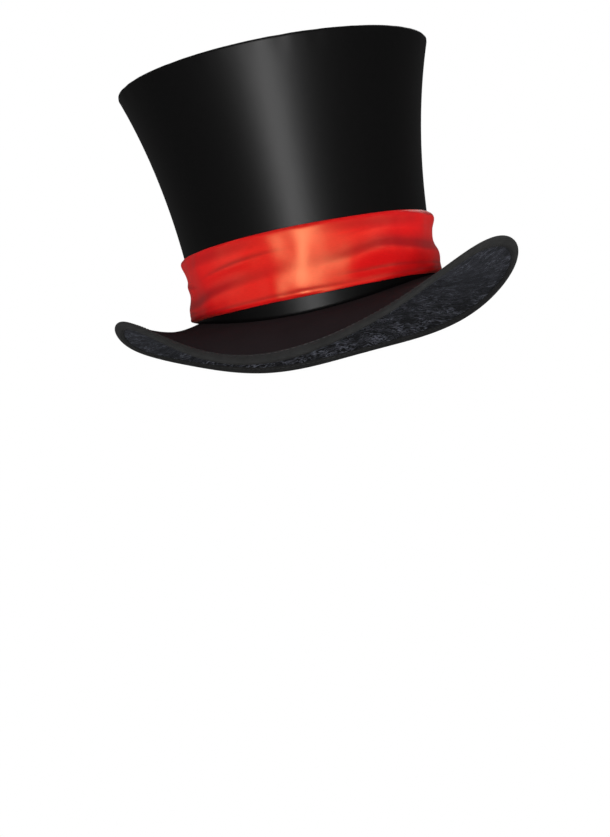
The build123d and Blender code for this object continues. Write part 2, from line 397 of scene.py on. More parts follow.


# Crushed velvet: pile laid down in wavy streaks, pale where it turns to the light; the pale streaks are
# painted sheen in its colour
velvet = {
    "streakAlong": 95.0,     # streaks in a metre along their length
    "streakAcross": 520.0,
    "wander": 0.009,         # how far a streak strays, in metres
    "dark": (0.0070, 0.0074, 0.0088),
    # painted sheen: the next colour is for the pale streaks, far lighter than the pile itself
    "pale": (0.300, 0.315, 0.390),
    "relief": 0.0004,
}


def velvetMaterial():
    material, tree = newMaterial("crushedVelvet")
    skin = setInputs(tree.nodes["Principled BSDF"], {
        "Roughness": 0.7, "Specular IOR Level": 0.15, "Sheen Weight": 0.05, "Sheen Roughness": 0.4,
        "Sheen Tint": (0.75, 0.8, 1.0, 1)})
    where = addNode(tree, "ShaderNodeTexCoord").outputs["Object"]
    stray = setInputs(addNode(tree, "ShaderNodeTexNoise"), {"Scale": 55.0, "Detail": 2.0})
    tree.links.new(where, stray.inputs["Vector"])
    push = addNode(tree, "ShaderNodeVectorMath", operation="SCALE")
    push.inputs["Scale"].default_value = velvet["wander"] * 2
    tree.links.new(vectorMath(tree, "SUBTRACT", stray.outputs["Color"], (0.5, 0.5, 0.5)), push.inputs[0])
    moved = vectorMath(tree, "ADD", where, push.outputs[0])
    across = velvet["streakAcross"]
    streaks = setInputs(addNode(tree, "ShaderNodeTexNoise", noise_type="RIDGED_MULTIFRACTAL"),
                        {"Scale": 1.0, "Detail": 3.0, "Roughness": 0.6, "Offset": 0.9, "Gain": 2.0})
    tree.links.new(vectorMath(tree, "MULTIPLY", moved, (velvet["streakAlong"], across, across)),
                   streaks.inputs["Vector"])
    lines = spreadOut(tree, streaks.outputs[0], 0.92, 1.58)
    patch = setInputs(addNode(tree, "ShaderNodeTexNoise"), {"Scale": 70.0, "Detail": 2.0, "Roughness": 0.6})
    tree.links.new(moved, patch.inputs["Vector"])
    patchy = spreadOut(tree, patch.outputs[0], 0.34, 0.62)
    # painted sheen: pale streaks in patches, mixed into the base colour
    paintedSheen = mathNode(tree, "MULTIPLY", lines, patchy, clamp=True)
    tree.links.new(mixTones(tree, paintedSheen, velvet["dark"], velvet["pale"]), skin.inputs["Base Color"])
    addRelief(tree, skin, lines, velvet["relief"])
    return material


crushedVelvet = velvetMaterial()


def plainMaterial(name, colour, light, rate, depth, shader):
    return clothMaterial(name, feltGroup, {"Hairs": rate, "Patches": rate / 8}, colour, light, depth, shader)


foamMaterial = plainMaterial(
    "foam", (0.22, 0.22, 0.22), (0.34, 0.34, 0.33), 1600.0, 0.0003, {"Roughness": 0.95})
buckramMaterial = plainMaterial(
    "buckram", (0.60, 0.58, 0.52), (0.76, 0.74, 0.68), 900.0, 0.0002, {"Roughness": 0.85})
tapeMaterial = plainMaterial(
    "grosgrain", (0.012, 0.012, 0.014), (0.026, 0.026, 0.03), 800.0, 0.0001, {"Roughness": 0.7})
steelMaterial = plainMaterial(
    "drawnSteel", (0.42, 0.42, 0.43), (0.58, 0.58, 0.58), 300.0, 0.00001,
    {"Roughness": 0.35, "Metallic": 1.0})
print("materials built")


# Camera and studio
studio = {
    "yaw": 7.83,             # the camera stands a little to the wearer's left
    "pitch": 0.03,
    "roll": -11.32,          # the hat is worn tipped to one side
    "right": 9.8,            # where the headline's middle is in the camera's view, in mm
    "up": 89.0,
    "distance": 1459.8,
    "lens": 85.0,
    "sensor": 36.0,
}


def makeCamera():
    yaw, pitch, roll = (math.radians(studio[k]) for k in ("yaw", "pitch", "roll"))
    away = Vector((math.sin(yaw) * math.cos(pitch), -math.cos(yaw) * math.cos(pitch), math.sin(pitch)))
    level = Vector((math.cos(yaw), math.sin(yaw), 0))
    upright = away.cross(level)
    right = level * math.cos(roll) + upright * math.sin(roll)
    up = upright * math.cos(roll) - level * math.sin(roll)
    spot = Vector((0, 0, headline)) - right * studio["right"] - up * studio["up"] + away * studio["distance"]
    data = bpy.data.cameras.new("camera")
    data.lens = studio["lens"]
    data.sensor_width = studio["sensor"]
    data.clip_start, data.clip_end = 0.05, 50
    camera = bpy.data.objects.new("camera", data)
    camera.matrix_world = Matrix.Translation(spot * mm) @ Matrix((right, up, away)).transposed().to_4x4()
    scene.collection.objects.link(camera)
    scene.camera = camera


makeCamera()


def softbox(name, azimuth, elevation, distance, size, power, aim=(0, 0, 0.11), use="both"):
    # azimuth 0 is in front of the hat, and positive is towards the wearer's left; a lamp
    # can be for the shine only or for the colour only
    a, e = math.radians(azimuth), math.radians(elevation)
    out = Vector((math.sin(a) * math.cos(e), -math.cos(a) * math.cos(e), math.sin(e)))
    data = bpy.data.lights.new(name, "AREA")
    data.shape = "RECTANGLE"
    data.size, data.size_y = size
    data.energy = power
    lamp = bpy.data.objects.new(name, data)
    lamp.location = Vector(aim) + out * distance
    lamp.rotation_mode = "QUATERNION"
    lamp.rotation_quaternion = out.to_track_quat("Z", "Y")
    lamp.visible_diffuse = use != "shine"
    lamp.visible_glossy = use != "colour"
    scene.collection.objects.link(lamp)


softbox("keyStrip", 5.6, -17.0, 1.6, (0.49, 1.8), 42.0, aim=(0, 0, 0.13), use="shine")
softbox("front", 8.0, 0.0, 1.9, (1.6, 1.6), 19.5, use="colour")
softbox("fillRight", -70.0, 0.0, 1.9, (1.2, 1.4), 15.0, use="colour")
softbox("fillLeft", 78.0, 0.0, 1.9, (1.2, 1.4), 20.0, use="colour")
softbox("top", 0.0, 80.0, 1.8, (1.2, 1.2), 2.4)
softbox("behind", 165.0, 30.0, 2.2, (1.0, 1.0), 5.0)


def makeFloor():
    mesh = bpy.data.meshes.new("floor")
    mesh.from_pydata([(-4, -4, 0), (4, -4, 0), (4, 4, 0), (-4, 4, 0)], [], [(0, 1, 2, 3)])
    floor = bpy.data.objects.new("floor", mesh)
    floor.location.z = -0.0004
    scene.collection.objects.link(floor)
    material, tree = newMaterial("paleFloor")
    tree.nodes.clear()
    matte = setInputs(addNode(tree, "ShaderNodeBsdfDiffuse"), {"Color": (0.40, 0.40, 0.40, 1)})
    glow = setInputs(addNode(tree, "ShaderNodeEmission"), {"Color": (0.55, 0.55, 0.55, 1)})
    pale = addNode(tree, "ShaderNodeAddShader")
    tree.links.new(matte.outputs[0], pale.inputs[0])
    tree.links.new(glow.outputs[0], pale.inputs[1])
    through = addNode(tree, "ShaderNodeBsdfTransparent")
    # seen from above only, and it neither lights the hat nor shades it
    side = addNode(tree, "ShaderNodeNewGeometry")
    ray = addNode(tree, "ShaderNodeLightPath")
    unseen = mathNode(tree, "SUBTRACT", 1.0, ray.outputs["Is Camera Ray"])
    hidden = mathNode(tree, "MAXIMUM", unseen, side.outputs["Backfacing"])
    mix = addNode(tree, "ShaderNodeMixShader")
    out = addNode(tree, "ShaderNodeOutputMaterial")
    tree.links.new(hidden, mix.inputs[0])
    tree.links.new(pale.outputs[0], mix.inputs[1])
    tree.links.new(through.outputs[0], mix.inputs[2])
    tree.links.new(mix.outputs[0], out.inputs["Surface"])
    mesh.materials.append(material)


makeFloor()


def makeBackdrop():
    # white to look at, dimmer as a light
    world = bpy.data.worlds.new("studio")
    scene.world = world
    world.use_nodes = True
    tree = world.node_tree
    tree.nodes.clear()
    seen = setInputs(addNode(tree, "ShaderNodeBackground"), {"Color": (1, 1, 1, 1), "Strength": 1.0})
    lighting = setInputs(addNode(tree, "ShaderNodeBackground"), {"Color": (1, 1, 1, 1)})
    direction = addNode(tree, "ShaderNodeTexCoord")
    parts = addNode(tree, "ShaderNodeSeparateXYZ")
    level = setInputs(addNode(tree, "ShaderNodeMapRange"),
                      {"From Min": -1.0, "From Max": 1.0, "To Min": 0.15, "To Max": 0.06})
    tree.links.new(direction.outputs["Generated"], parts.inputs[0])
    tree.links.new(parts.outputs["Y"], level.inputs["Value"])
    tree.links.new(level.outputs["Result"], lighting.inputs["Strength"])
    ray = addNode(tree, "ShaderNodeLightPath")
    mix = addNode(tree, "ShaderNodeMixShader")
    out = addNode(tree, "ShaderNodeOutputWorld")
    tree.links.new(ray.outputs["Is Camera Ray"], mix.inputs[0])
    tree.links.new(lighting.outputs[0], mix.inputs[1])
    tree.links.new(seen.outputs[0], mix.inputs[2])
    tree.links.new(mix.outputs[0], out.inputs["Surface"])


makeBackdrop()
print("camera and studio set")


# Crown: a satin tube over foam, sewn to the tip with a rounded edge
crown = {
    "columns": 720,
    "rows": 60,
    "cloth": 0.5,
    "edgeRound": 2.6,        # radius of the soft top edge
    "edgeTurn": 1.9,         # how far the edge rolls in before the seam
    "pucker": 0.32,          # depth of the small gathers along the top seam
    "puckerEvery": 2.0,      # degrees
    "puckerFade": 9.0,       # how far down they reach
    "unevenness": 0.10,
    "seamDepth": 0.45,       # upright seam at the back
    "seamWidth": 1.0,
}


def seamAtBack(turn):
    # a groove with a slight swell on each side, along the back of the crown
    width, depth = crown["seamWidth"], crown["seamDepth"]
    distance = (turn - back) * hat["crownReach"]
    return -depth * bump(distance, width) + 0.35 * depth * bump(np.abs(distance) - 3 * width, 2 * width)


def makeCrown():
    turn = turns(crown["columns"])[:, None]
    top = hat["crownHeight"] - 0.1
    roundFrom = top - crown["edgeRound"]
    foot = brimLevel(turn, crownOut(0), hat["brimHalf"]) - 0.25
    share = np.linspace(0, 1, crown["rows"])[None, :]
    height = foot + (roundFrom - foot) * share
    pucker = crown["pucker"] * unevenRound(crown["columns"], crown["puckerEvery"], 11)[:, None]
    uneven = crown["unevenness"] * unevenPatch(crown["columns"], crown["rows"], 34, 14, 5)
    nearTop = bump(roundFrom - height, crown["puckerFade"])
    seam = seamAtBack(turn)
    lift = uneven + pucker * nearTop + seam
    outer = place(turn, crownOut(height) + lift, height)
    # the rolled edge, then back down inside the cloth
    arc = np.linspace(0, math.pi / 2, 9)[None, 1:]
    rollHeight = roundFrom + crown["edgeRound"] * np.sin(arc) - 0.5 * np.abs(pucker) * np.sin(arc)
    rollReach = crownOut(roundFrom) - crown["edgeTurn"] * (1 - np.cos(arc))
    rollReach = rollReach + (crownOut(rollHeight) - crownOut(roundFrom)) * np.cos(arc)
    roll = place(turn, rollReach + pucker + seam, rollHeight)
    inShare = np.linspace(1, 0, 14)[None, :]
    inHeight = foot + (roundFrom - 0.5 - foot) * inShare
    inner = place(turn, crownOut(inHeight, crown["cloth"] + 0.05), inHeight)
    points = np.concatenate([outer, roll, inner], 1)
    piece = gridPiece("crownCover", points, size=(0.62, 0.36))
    give(piece, blackSatin, "black_satin", "crown_side_cover")


makeCrown()

# Tip: a flat oval of the same satin, padded, with its own rolled edge inside the seam
tip = {
    "columns": 360,
    "rings": 34,
    "seamDrop": 1.0,         # how deep the seam lies between the two rolls
    "rollWidth": 3.2,
    "dip": 0.7,              # the middle sinks a little
    "ripple": 0.12,
    "thick": 2.2,
}


def ovalDisc(name, reach, rings, columns, heightAt, under):
    # a closed oval plate: rings from the edge to a centre, above and below
    turn = turns(columns)
    shares = np.linspace(1, 0, rings)[:-1] ** 0.8
    rows = []
    for share in shares:
        rows.append(place(turn, reach, heightAt(turn, share)) * [share, share, 1])
    topCount = len(rows)
    for share in shares[::-1]:
        rows.append(place(turn, reach - 0.3, under(turn, share)) * [share, share, 1])
    points = np.stack(rows, 1)
    countU, countV = points.shape[:2]
    vertices = points.reshape(-1, 3).tolist()
    topCentre = len(vertices)
    for level in (heightAt, under):
        vertices.append((0, 0, float(level(turn, 0.0).mean() + headline) * mm))
    faces = []
    for u in range(countU):
        nextU = (u + 1) % countU
        for v in range(countV):
            if v == topCount - 1:
                faces.append((u * countV + v, nextU * countV + v, topCentre))
            elif v == countV - 1:
                faces.append((u * countV + v, nextU * countV + v, nextU * countV, u * countV))
            else:
                faces.append((u * countV + v, nextU * countV + v, nextU * countV + v + 1, u * countV + v + 1))
        faces.append((nextU * countV + topCount, u * countV + topCount, topCentre + 1))
    uvs = [(vertices[k][0], vertices[k][1]) for face in faces for k in face]
    return makePiece(name, vertices, faces, uvs)


def makeTip():
    reach = crownOut(hat["crownHeight"] - 3) - crown["edgeTurn"] + 0.35
    top = hat["crownHeight"]
    ripple = unevenRound(tip["columns"], 4.0, 21)

    def heightAt(turn, share):
        inset = (1 - share) * reach
        roll = -tip["seamDrop"] * np.exp(-((inset / tip["rollWidth"]) ** 2) * 2.2)
        gather = tip["ripple"] * ripple * np.exp(-inset / 14)
        return top + 0.15 + roll + gather - tip["dip"] * (1 - share**2)

    def under(turn, share):
        return top - tip["thick"] + 0 * turn

    piece = ovalDisc("tipCover", reach, tip["rings"], tip["columns"], heightAt, under)
    give(piece, blackSatin, "black_satin", "crown_tip_cover")


makeTip()
print("crown made")


# Brim: felt above, crushed velvet below, a folded binding round the edge
brim = {
    "columns": 720,
    "topRows": 30,
    "underRows": 56,
    "cloth": 0.6,
    "grip": 4.3,             # how far the binding reaches over the brim
    "gripBelow": 4.6,
    "bindingHalf": 2.15,     # half the thickness over the binding
    "stitchInset": 3.2,      # stitches from the end of the layers
    "crush": 0.35,           # relief of the crushed pile
    "crushWaves": 26,
}


def layerPiece(name, upper, lower, rows, upperRelief, lowerRelief):
    turn = turns(brim["columns"])[:, None]
    share = np.linspace(0, 1, rows)[None, :]
    outward = hat["innerReach"] + (edgeReach(turn) - hat["innerReach"]) * share
    above = brimPoint(turn, outward[:, ::-1], upper + upperRelief)
    below = brimPoint(turn, outward, lower + lowerRelief)
    return gridPiece(name, np.concatenate([above, below], 1), size=(0.95, 0.14))


def makeBrimTop():
    soft = 0.10 * unevenPatch(brim["columns"], brim["topRows"], 30, 8, 31)
    high = hat["brimHalf"]
    piece = layerPiece("brimFeltTop", high, high - brim["cloth"], brim["topRows"], soft, 0.0)
    give(piece, brimFelt, "brim_felt", "brim_top_cover")


def makeVelvet():
    # the pile lies in streaks that run from side to side of the hat
    rows = brim["underRows"]
    turn = turns(brim["columns"])[:, None]
    outward = hat["innerReach"] + (edgeReach(turn) - hat["innerReach"]) * np.linspace(0, 1, rows)[None, :]
    x, y = (place(turn, outward, 0)[..., k] / mm for k in (0, 1))
    rng = np.random.default_rng(47)
    relief = np.zeros_like(x)
    for wave in range(brim["crushWaves"]):
        period = rng.uniform(3.2, 9.0)
        slant = rng.normal(0, 0.22)
        bendAt, bendBy = rng.uniform(25, 70), rng.uniform(1.0, 4.0)
        phase, bendPhase = rng.uniform(0, 6.28, 2)
        line = y + slant * x + bendBy * np.sin(x / bendAt * 6.28 + bendPhase)
        fade = 0.5 + 0.5 * np.sin(x / rng.uniform(18, 50) * 6.28 + y / rng.uniform(20, 60) + phase)
        relief += fade * np.sin(line / period * 6.28 + phase)
    relief *= brim["crush"] / np.abs(relief).max()
    low = -hat["brimHalf"]
    piece = layerPiece("brimVelvetUnder", low + brim["cloth"], low, rows, 0.0, relief - 0.1)
    give(piece, crushedVelvet, "crushed_velvet", "brim_under_cover")


def makeBinding():
    turn = turns(brim["columns"])[:, None]
    half = brim["bindingHalf"]
    inside = hat["brimHalf"] + 0.1
    sway = 0.3 * unevenRound(brim["columns"], 6.0, 61)[:, None]
    plump = 0.10 * unevenPatch(brim["columns"], 40, 7, 8, 62)

    def leg(grip, side, count):
        # the outer face of one leg, from its folded end to the nose
        inset = np.linspace(grip, 0, count)[None, :] + sway * np.linspace(1, 0, count)[None, :]
        end = bump(inset - grip - sway, 0.6)
        tuck = 0.25 * bump(inset - brim["stitchInset"], 0.7)
        lift = half + 0.12 * np.sin(np.clip(inset / grip, 0, 1) * math.pi) - 0.4 * end - tuck
        return inset, side * lift

    topInset, topLift = leg(brim["grip"], 1, 16)
    lowInset, lowLift = leg(brim["gripBelow"], -1, 16)
    reach = edgeReach(turn)
    arc = np.linspace(math.pi / 2, -math.pi / 2, 15)[None, 1:-1]
    # the loop runs anticlockwise: below from the crown outwards, round the nose, then back above
    below = brimPoint(turn, reach - lowInset, lowLift - plump[:, :16])
    noseHalf = half + plump[:, 16:29]
    nose = brimPoint(turn, reach, noseHalf * np.sin(arc[:, ::-1]), noseHalf * np.cos(arc[:, ::-1]))
    above = brimPoint(turn, reach - topInset[:, ::-1], topLift[:, ::-1])
    innerGrip = np.linspace(brim["grip"], 0, 6)[None, :] + sway * np.linspace(1, 0, 6)[None, :]
    innerAbove = brimPoint(turn, reach - innerGrip, inside)
    innerNose = brimPoint(turn, reach, inside * np.sin(arc), inside * np.cos(arc))
    lowGrip = np.linspace(0, brim["gripBelow"], 6)[None, :] + sway * np.linspace(0, 1, 6)[None, :]
    innerBelow = brimPoint(turn, reach - lowGrip, -inside)
    points = np.concatenate([below, nose, above, innerAbove, innerNose, innerBelow], 1)
    piece = gridPiece("brimBinding", points, size=(1.0, 0.05))
    give(piece, bindingFelt, "binding_felt", "brim_binding")


makeBrimTop()
makeVelvet()
makeBinding()
print("brim made")


# Sash: a long strip of satin with its two edges turned in, lying in soft folds
sash = {
    "columns": 640,
    "rows": 54,
    "top": 45.2,
    "bareStrip": 11.2,       # crown left bare under it at front and back
    "hem": 9.0,              # cloth turned in at each edge
    "gap": 0.3,              # from the brim to the cloth at the sides
    "lie": 0.8,              # how far the cloth stands out past its hems
    "hemOut": 0.35,          # from the crown to a hem
    "faceOut": 0.75,         # from the crown to the cloth where it turns in
    "cloth": 0.35,
    "creases": 0.14,         # fine unevenness of the whole cloth
    "waves": 0.8,            # slow unevenness
    "dimples": 1.9,          # unevenness a fingertip wide, which breaks up its shine
    # painted shade: the next value is the lean at which the colour is painted fully dark
    "steep": 0.36,           # the lean at which a fold's upper side is in full shade
}
# A fold is a soft ridge: knots of (turn in degrees, height, rise), and how wide it is
# above and below its line. All angles run from -180 to 180, with the front at -90.
sashFolds = [
    {"above": 6.6, "below": 9.5, "knots": [      # the long fold across the front
        (-178, 10, 2.6), (-166, 7, 2.4), (-150, 5, 2.8), (-138, 8, 2.6), (-128, 10.4, 2.3),
        (-118, 11.8, 2.0), (-108, 12.8, 1.6), (-98, 13.8, 1.1), (-90, 14.5, 0.6), (-80, 14, 0.8),
        (-72, 14.2, 1.7), (-64, 16, 2.3), (-56, 18.8, 2.8), (-48, 20.2, 3.1), (-40, 18.8, 3.2),
        (-30, 16.2, 3.2), (-16, 14.6, 3.3), (5, 15, 3.0), (30, 20, 2.2), (55, 24, 1.2),
        (75, 24, 1.8), (105, 22, 1.8), (130, 17, 1.0), (155, 12, 2.0)]},
    {"above": 3.4, "below": 5.4, "knots": [      # the lip along the top
        (-178, 42, 1.5), (-158, 42, 1.2), (-140, 42, 0.3), (-110, 42.4, 0.3), (-90, 42.4, 0.8),
        (-70, 42, 0.4), (-45, 41.4, 0.3), (-26, 41, 1.0), (0, 41, 2.4), (40, 41.5, 1.7),
        (75, 40, 1.2), (105, 40, 1.2), (140, 41, 1.7)]},
    {"above": 8.0, "below": 9.0, "knots": [      # broad swells under that lip
        (-178, 33, 0), (-158, 33, 0.6), (-140, 33.5, 2.0), (-122, 34, 2.2), (-108, 35, 1.5), (-95, 36, 0),
        (-78, 36, 0.4), (-66, 34, 2.0), (-48, 33, 2.6), (-30, 33, 1.8), (-15, 33, 0), (60, 33, 0),
        (85, 32, 1.2), (120, 33, 1.0), (150, 33, 0)]},
    {"above": 2.0, "below": 1.8, "knots": [      # the lip along the foot
        (-178, 0.4, 3.8), (-165, -0.4, 2.8), (-145, -0.8, 0.6), (-105, -0.4, 0.6), (-85, -0.4, 0.7),
        (-60, -0.8, 0.3), (-30, 0.6, 0.5), (0, 2.6, 0.9), (60, 1.0, 0.5), (120, 0.6, 0.7), (160, 0.6, 2.6)]},
    {"above": 2.4, "below": 4.2, "knots": [      # short folds, high up
        (-178, 28, 0.9), (-165, 25, 1.2), (-157, 21, 0.9), (-148, 19, 0), (-70, 30, 0), (-52, 34, 0.5),
        (-30, 32, 0.2), (20, 30, 0), (40, 33, 1.0), (70, 34, 1.5), (110, 32, 1.5), (135, 28, 1.2),
        (160, 28, 0.8)]},
    {"above": 2.2, "below": 3.8, "knots": [      # short folds, half way up
        (-178, 14, 0), (-140, 24, 0), (-126, 27, 0.7), (-112, 29, 0.9), (-100, 30, 0.5), (-92, 30, 0),
        (20, 9, 0), (45, 10, 0.8), (72, 13, 1.4), (108, 11, 1.4), (140, 8, 0.7), (165, 9, 0)]},
    {"above": 2.0, "below": 3.4, "knots": [      # short folds, low down
        (-178, 3, 0), (-160, 3.5, 0.9), (-145, 1.5, 0.4), (-120, 3, 0), (-75, 6, 0), (-60, 5.6, 0.6),
        (-45, 6.4, 0.7), (-30, 6, 0.3), (-10, 5, 0.9), (10, 5, 0)]},
]


def sashFoot(turn):
    bare = sash["bareStrip"] * np.sin(turn) ** 2
    return brimLevel(turn, hat["crownReach"], hat["brimHalf"]) + sash["gap"] + bare


def foldRise(turn, height):
    # how far the folds stand out, and how steeply their upper sides lean back
    degrees = (np.degrees(turn[:, 0]) + 180) % 360 - 180
    total, steepest = np.zeros((2, len(turn), height.shape[1]))
    for fold in sashFolds:
        angles, heights, rises = zip(*fold["knots"])
        line = soften(np.interp(degrees, angles, heights, period=360), 5.0)[:, None]
        rise = soften(np.interp(degrees, angles, rises, period=360), 4.0)[:, None]
        distance = height - line
        width = np.where(distance > 0, fold["above"], fold["below"])
        swell = rise * np.exp(-(distance / width) ** 2)
        total = total + swell
        steepest = np.maximum(steepest, 2 * distance / width**2 * swell)
    return total, steepest


def makeSash():
    columns, rows = sash["columns"], sash["rows"]
    turn = turns(columns)[:, None]
    foot = sashFoot(turn) + 0.25 * unevenRound(columns, 7.0, 71)[:, None]
    top = sash["top"] + 0.3 * unevenRound(columns, 8.0, 72)[:, None]
    swing = np.cos(np.linspace(0, 1, rows)[None, :] * math.pi)
    share = 0.5 - 0.5 * swing * (0.82 + 0.18 * swing**2)      # rows lie closer near both edges
    height = foot + (top - foot) * share
    folds, lean = foldRise(turn, height)
    fine = sash["creases"] * unevenPatch(columns, rows, 9, 4, 73)
    fine = fine + sash["waves"] * unevenPatch(columns, rows, 20, 9, 75)
    fine = fine + sash["dimples"] * unevenPatch(columns, rows, 6.5, 6.5, 76)
    rounded = 1 - np.exp(-((height - foot) / 0.9)) - np.exp(-((top - height) / 0.7))
    lift = sash["faceOut"] + (sash["lie"] + folds + fine) * np.clip(rounded, 0, 1)
    face = place(turn, crownOut(height) + lift, height)
    hem = np.linspace(1, 0.06, 7)[None, :]
    lowHem = place(turn, crownOut(foot) + sash["hemOut"], foot + 0.2 + sash["hem"] * hem)
    highHem = place(turn, crownOut(top) + sash["hemOut"], top - 0.2 - sash["hem"] * hem[:, ::-1])
    piece = gridPiece("sash", np.concatenate([lowHem, face, highHem], 1), roundV=False, size=(0.62, 0.068))
    # painted shade: where the upper side of a fold leans back, the cloth's colour is darkened
    shade = np.clip(lean / sash["steep"], 0, 1) * np.clip(rounded, 0, 1)
    hemShade = np.zeros((len(turn), 7))
    markShade(piece, np.concatenate([hemShade, shade, hemShade], 1))
    piece = thicken(piece, sash["cloth"])
    give(piece, redSatin, "red_satin", "hat_sash")


makeSash()

# A short loop of the same satin covers the sash's join at the back
wrap = {
    "half": 14.0,            # half its width
    "columns": 60,
    "rows": 44,
    "over": 4.3,             # how far it stands over the crown
    "pleats": 4,
    "pleatRise": 0.8,
    "narrowing": 0.12,       # it is pulled in at the middle
    "tuck": 6.0,             # cloth turned in at each end
    "cloth": 0.4,
}


def makeWrap():
    reach = hat["crownReach"] + wrap["over"]
    halfTurn = wrap["half"] / reach
    across = np.linspace(1, -1, wrap["columns"])[:, None]
    turn = back - across * halfTurn
    top, foot = sash["top"] + 0.9, sashFoot(turn) - 0.8
    share = np.linspace(0, 1, wrap["rows"])[None, :]
    height = foot + (top - foot) * share
    middle = np.sin(share * math.pi)
    sway = 0.5 * np.sin(share * 3)
    pleat = wrap["pleatRise"] * np.abs(np.cos(across * wrap["pleats"] * math.pi / 2 + sway))
    edge = np.clip(1 - np.abs(across) ** 10, 0, 1)
    follow = 0.5 * foldRise(turn, height)[0]
    body = np.clip(middle * 4, 0, 1) ** 0.6 * (0.75 + 0.25 * edge)
    lift = 1.0 + (wrap["over"] - 2.0 + pleat + follow) * body
    squeeze = 1 - wrap["narrowing"] * middle
    turn = back - across * halfTurn * squeeze
    face = place(turn, crownOut(height) + lift, height)
    tuck = np.linspace(0, wrap["tuck"], 4)[None, :]
    tuckLow = place(turn[:, :1], crownOut(foot) + 0.6, foot + 0.3 + tuck[:, ::-1])
    tuckHigh = place(turn[:, -1:], crownOut(top) + 0.6, top - 0.3 - tuck)
    points = np.concatenate([tuckLow, face, tuckHigh], 1)
    piece = gridPiece("sashWrap", points, roundU=False, roundV=False, size=(0.03, 0.06))
    piece = thicken(piece, wrap["cloth"])
    give(piece, redSatin, "red_satin", "sash_join_wrap")


makeWrap()
print("sash made")


# Inside: sweatband, lining, label
inside = {
    "columns": 480,
    "bandHeight": 32.0,
    "bandCloth": 1.1,
    "bandSeam": 3.0,         # the sweatband's stitching over its foot
    "trimFoot": 5.0,         # label and tape start this far over the sweatband's foot
    "liningFoot": 20.0,
    "liningTop": 163.0,
    "liningDepth": 4.35,     # under the outside of the crown
    "liningCloth": 0.4,
    "liningColumns": 720,
    "liningRows": 46,
    "discColumns": 360,      # the lining under the tip
    "discRings": 30,
    "wrinkle": 0.9,
    "pleats": 44,
    "labelTurn": 205.0,      # degrees round the hat
    "labelHalf": 11.0,
    "labelHeight": 21.0,
    "labelCloth": 0.35,
    "tapeHalf": 6.0,
    "tapeCloth": 0.3,
}
bandFace = hat["sweatbandDepth"] + inside["bandCloth"] + 0.2      # where label and tape lie


def bandFoot(turn):
    return brimLevel(turn, hat["innerReach"], -hat["brimHalf"]) + 0.1


def makeSweatband():
    turn = turns(inside["columns"])[:, None]
    foot = bandFoot(turn)
    wave = 0.35 * unevenRound(inside["columns"], 9.0, 81)[:, None]
    share = np.linspace(0, 1, 22)[None, :]
    height = foot + inside["bandHeight"] * share
    slack = wave * share**2
    depth = hat["sweatbandDepth"]
    outer = place(turn, crownOut(height, depth) - np.maximum(slack, 0), height)
    arc = np.linspace(0, math.pi, 7)[None, 1:-1]
    half = inside["bandCloth"] / 2
    rimOut = crownOut(height[:, -1:], depth + half) + half * np.cos(arc)
    rim = place(turn, rimOut - np.maximum(slack[:, -1:], 0), height[:, -1:] + half * np.sin(arc))
    seam = 0.12 * bump(share * inside["bandHeight"] - inside["bandSeam"], 0.9)
    inner = place(turn, crownOut(height, depth + inside["bandCloth"]) - np.maximum(slack, 0) + seam, height)
    lip = place(turn, crownOut(foot, depth + half) - half * np.cos(arc), foot - half * np.sin(arc))
    points = np.concatenate([outer, rim, inner[:, ::-1], lip], 1)
    piece = gridPiece("sweatbandLeather", points, size=(0.58, 0.07))
    give(piece, sweatLeather, "sweatband_cloth", "sweatband")


def makeLining():
    columns, rows = inside["liningColumns"], inside["liningRows"]
    turn = turns(columns)[:, None]
    share = np.linspace(0, 1, rows)[None, :]
    height = inside["liningFoot"] + (inside["liningTop"] - inside["liningFoot"]) * share
    wrinkle = inside["wrinkle"] * unevenPatch(columns, rows, 9, 26, 91)
    wrinkle = (wrinkle - wrinkle.min()) * np.clip((height - 34) / 14, 0, 1)
    outer = place(turn, crownOut(height, inside["liningDepth"]), height)
    innerDepth = inside["liningDepth"] + inside["liningCloth"]
    inner = place(turn, crownOut(height, innerDepth) - wrinkle, height)
    piece = gridPiece("liningSide", np.concatenate([outer, inner[:, ::-1]], 1), size=(0.6, 0.3))
    give(piece, liningSatin, "lining_satin", "crown_side_lining")
    columns = inside["discColumns"]
    ripple = np.cos(turns(columns) * inside["pleats"] + 2.2 * unevenRound(columns, 5.0, 92))
    top = inside["liningTop"]

    def under(turn, share):
        # gathered under the tip, with pleats that die out towards the middle
        sag = 1.6 * (1 - share**2)
        fade = np.clip(share * 1.6 - 0.5, 0, 1) ** 1.5
        return top - 0.2 - sag - 0.54 * (ripple + 1) * fade

    reach = crownOut(top, 4.8)
    disc = ovalDisc("liningTip", reach, inside["discRings"], columns,
                    lambda turn, share: top + 0.4 + 0 * turn, under)
    give(disc, liningSatin, "lining_satin", "crown_tip_lining")


def makeLabel():
    # a blank folded label, sewn along its lower edge and curling a little at the top
    reach = crownOut(0, bandFace)
    middle = math.radians(inside["labelTurn"])
    across = np.linspace(-1, 1, 28)[:, None]
    turn = middle + across * inside["labelHalf"] / (reach + hat["oval"] / 2)
    share = np.linspace(0, 1, 26)[None, :]
    height = bandFoot(turn) + inside["trimFoot"] + inside["labelHeight"] * share
    curl = 0.25 + 1.5 * share**3 * (1 + 0.25 * across)
    face = place(turn, crownOut(height, bandFace) - curl, height)
    piece = gridPiece("careLabel", face, roundU=False, roundV=False, size=(0.022, 0.021))
    piece = thicken(piece, inside["labelCloth"])
    give(piece, labelCloth, "label_cloth", "care_label")


